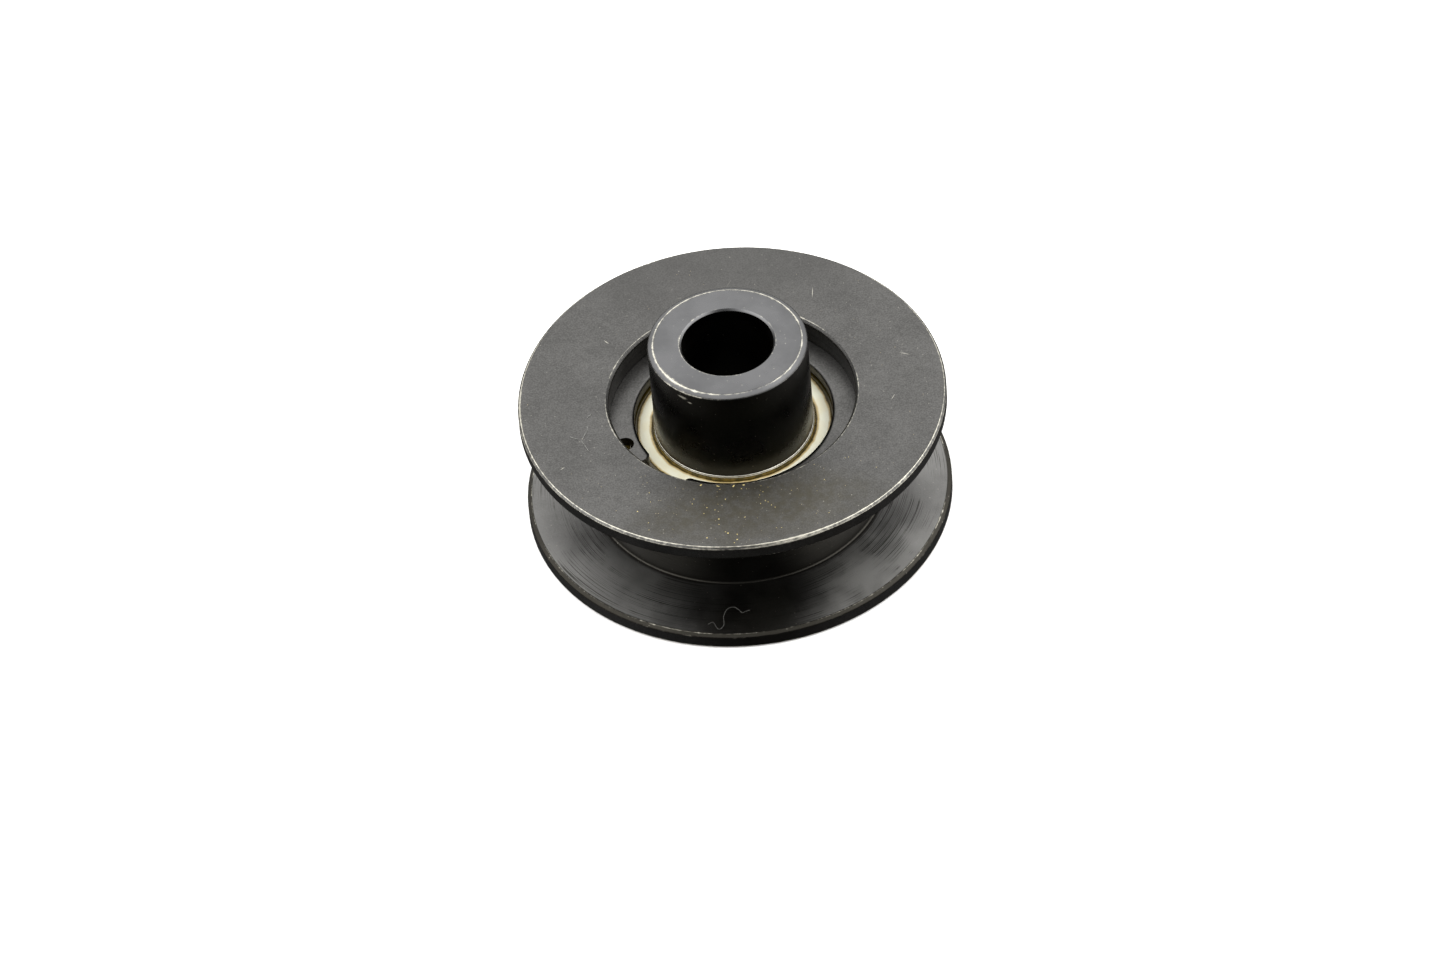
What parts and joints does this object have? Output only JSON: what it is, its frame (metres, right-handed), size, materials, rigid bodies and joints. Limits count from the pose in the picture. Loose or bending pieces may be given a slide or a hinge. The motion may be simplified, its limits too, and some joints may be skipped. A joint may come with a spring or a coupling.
{
  "type": "grooved cam follower roller",
  "caption": "Grooved black steel cam follower roller, turning on a shielded ball bearing round a shouldered hub bush with a through bore.",
  "frame": {"origin": "on the hub bore's axis, in the middle plane of the roller's groove", "axes": "+Z along the bore axis, towards the nose of the hub; the opening of the retaining ring is near -X -Y"},
  "size_m": [0.0606, 0.0606, 0.0304],
  "materials": {
    "roller_black_oxide": "turned steel with a black-oxide finish, oiled, worn bright on its edges",
    "hub_black_oxide": "turned steel with a black-oxide finish, worn bright on its bevels",
    "ring_phosphated": "phosphated spring steel, matt dark grey",
    "shield_zinc": "pressed steel with a pale yellowed zinc finish, oily at its edges",
    "bearing_steel": "ground bearing steel",
    "cage_steel": "pressed mild steel ribbon"
  },
  "bodies": {
    "hub": {"hub_bush": "hub_black_oxide", "bearing_inner_ring": "bearing_steel"},
    "roller": {"roller_body": "roller_black_oxide", "retaining_ring": "ring_phosphated", "bearing_outer_ring": "bearing_steel", "shield_upper": "shield_zinc", "shield_lower": "shield_zinc"},
    "cage": {"cage_upper": "cage_steel", "cage_lower": "cage_steel", "cage_rivet_01": "cage_steel", "cage_rivet_02": "cage_steel", "cage_rivet_03": "cage_steel", "cage_rivet_04": "cage_steel", "cage_rivet_05": "cage_steel", "cage_rivet_06": "cage_steel", "cage_rivet_07": "cage_steel", "cage_rivet_08": "cage_steel", "cage_rivet_09": "cage_steel", "cage_rivet_10": "cage_steel"},
    "ball_01_body": {"ball_01": "bearing_steel"},
    "ball_02_body": {"ball_02": "bearing_steel"},
    "ball_03_body": {"ball_03": "bearing_steel"},
    "ball_04_body": {"ball_04": "bearing_steel"},
    "ball_05_body": {"ball_05": "bearing_steel"},
    "ball_06_body": {"ball_06": "bearing_steel"},
    "ball_07_body": {"ball_07": "bearing_steel"},
    "ball_08_body": {"ball_08": "bearing_steel"},
    "ball_09_body": {"ball_09": "bearing_steel"},
    "ball_10_body": {"ball_10": "bearing_steel"}
  },
  "joints": [
    {"name": "roller_spin", "type": "hinge", "parent": "hub", "child": "roller", "pos_m": [0, 0, 0], "axis": [0, 0, 1], "continuous": true},
    {"name": "cage_spin", "type": "hinge", "parent": "hub", "child": "cage", "pos_m": [0, 0, 0], "axis": [0, 0, 1], "continuous": true},
    {"name": "ball_01_roll", "type": "hinge", "parent": "cage", "child": "ball_01_body", "pos_m": [0.013, 0, 0], "axis": [0, 0, 1], "continuous": true},
    {"name": "ball_02_roll", "type": "hinge", "parent": "cage", "child": "ball_02_body", "pos_m": [0.01052, 0.00764, 0], "axis": [0, 0, 1], "continuous": true},
    {"name": "ball_03_roll", "type": "hinge", "parent": "cage", "child": "ball_03_body", "pos_m": [0.00402, 0.01236, 0], "axis": [0, 0, 1], "continuous": true},
    {"name": "ball_04_roll", "type": "hinge", "parent": "cage", "child": "ball_04_body", "pos_m": [-0.00402, 0.01236, 0], "axis": [0, 0, 1], "continuous": true},
    {"name": "ball_05_roll", "type": "hinge", "parent": "cage", "child": "ball_05_body", "pos_m": [-0.01052, 0.00764, 0], "axis": [0, 0, 1], "continuous": true},
    {"name": "ball_06_roll", "type": "hinge", "parent": "cage", "child": "ball_06_body", "pos_m": [-0.013, 0, 0], "axis": [0, 0, 1], "continuous": true},
    {"name": "ball_07_roll", "type": "hinge", "parent": "cage", "child": "ball_07_body", "pos_m": [-0.01052, -0.00764, 0], "axis": [0, 0, 1], "continuous": true},
    {"name": "ball_08_roll", "type": "hinge", "parent": "cage", "child": "ball_08_body", "pos_m": [-0.00402, -0.01236, 0], "axis": [0, 0, 1], "continuous": true},
    {"name": "ball_09_roll", "type": "hinge", "parent": "cage", "child": "ball_09_body", "pos_m": [0.00402, -0.01236, 0], "axis": [0, 0, 1], "continuous": true},
    {"name": "ball_10_roll", "type": "hinge", "parent": "cage", "child": "ball_10_body", "pos_m": [0.01052, -0.00764, 0], "axis": [0, 0, 1], "continuous": true}
  ],
  "couplings": [
    {"joint": "cage_spin", "follows": "roller_spin", "ratio": 0.59158},
    {"joint": "ball_01_roll", "follows": "roller_spin", "ratio": 2.6384},
    {"joint": "ball_02_roll", "follows": "roller_spin", "ratio": 2.6384},
    {"joint": "ball_03_roll", "follows": "roller_spin", "ratio": 2.6384},
    {"joint": "ball_04_roll", "follows": "roller_spin", "ratio": 2.6384},
    {"joint": "ball_05_roll", "follows": "roller_spin", "ratio": 2.6384},
    {"joint": "ball_06_roll", "follows": "roller_spin", "ratio": 2.6384},
    {"joint": "ball_07_roll", "follows": "roller_spin", "ratio": 2.6384},
    {"joint": "ball_08_roll", "follows": "roller_spin", "ratio": 2.6384},
    {"joint": "ball_09_roll", "follows": "roller_spin", "ratio": 2.6384},
    {"joint": "ball_10_roll", "follows": "roller_spin", "ratio": 2.6384}
  ]
}
